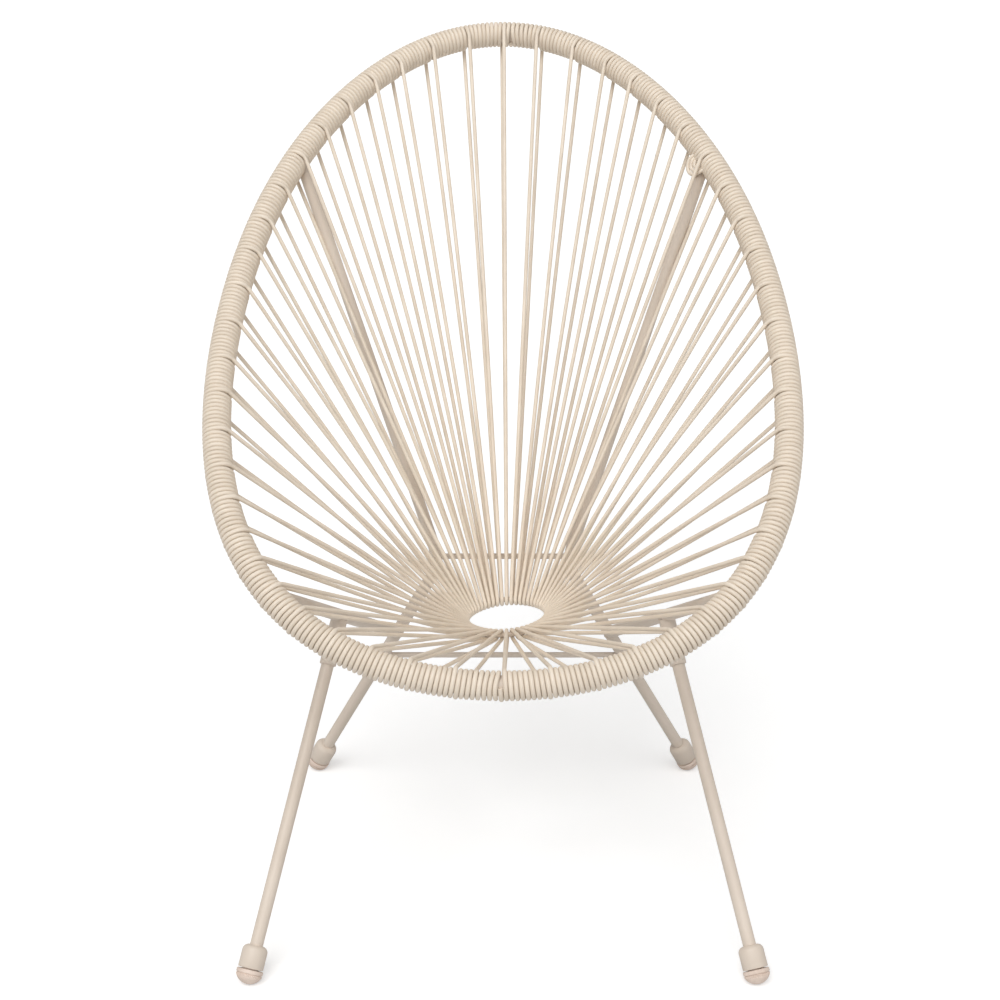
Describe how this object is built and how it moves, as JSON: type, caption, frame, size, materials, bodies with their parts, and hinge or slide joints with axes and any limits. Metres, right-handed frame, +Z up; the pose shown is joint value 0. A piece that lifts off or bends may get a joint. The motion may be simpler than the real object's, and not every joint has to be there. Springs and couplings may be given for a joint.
{
  "type": "acapulco chair",
  "caption": "Outdoor lounge chair: egg-shaped steel hoop wrapped in cord, cords laced down to a small centre ring, on a splayed tube frame with domed feet.",
  "frame": {"origin": "On the floor under the chair, midway between its front and back and between its sides.", "axes": "+Z up, +Y to the back of the chair, +X to the viewer's right when the chair is seen from the front."},
  "size_m": [0.6812, 0.846, 0.9308],
  "materials": {
    "frame_paint": "beige powder coat with a soft sheen",
    "cord": "smooth beige plastic cord, slightly glossy",
    "glide_plastic": "dull pinkish beige plastic"
  },
  "bodies": {
    "root": {"centre_ring": "frame_paint", "cord_left_1": "cord", "cord_left_2": "cord", "cord_left_3": "cord", "cord_left_4": "cord", "cord_left_5": "cord", "cord_left_6": "cord", "cord_left_7": "cord", "cord_right_1": "cord", "cord_right_2": "cord", "cord_right_3": "cord", "cord_right_4": "cord", "cord_right_5": "cord", "cord_right_6": "cord", "cord_right_7": "cord", "ferrule_front_left": "frame_paint", "ferrule_front_right": "frame_paint", "ferrule_rear_left": "frame_paint", "ferrule_rear_right": "frame_paint", "front_leg_left": "frame_paint", "front_leg_right": "frame_paint", "glide_front_left": "glide_plastic", "glide_front_right": "glide_plastic", "glide_rear_left": "glide_plastic", "glide_rear_right": "glide_plastic", "leg_sleeve_left": "frame_paint", "leg_sleeve_right": "frame_paint", "lower_cross_rod": "frame_paint", "rear_frame_left": "frame_paint", "rear_frame_right": "frame_paint", "rim_tube": "frame_paint", "side_strut_left": "frame_paint", "side_strut_right": "frame_paint", "upper_cross_rod": "frame_paint"}
  },
  "joints": []
}
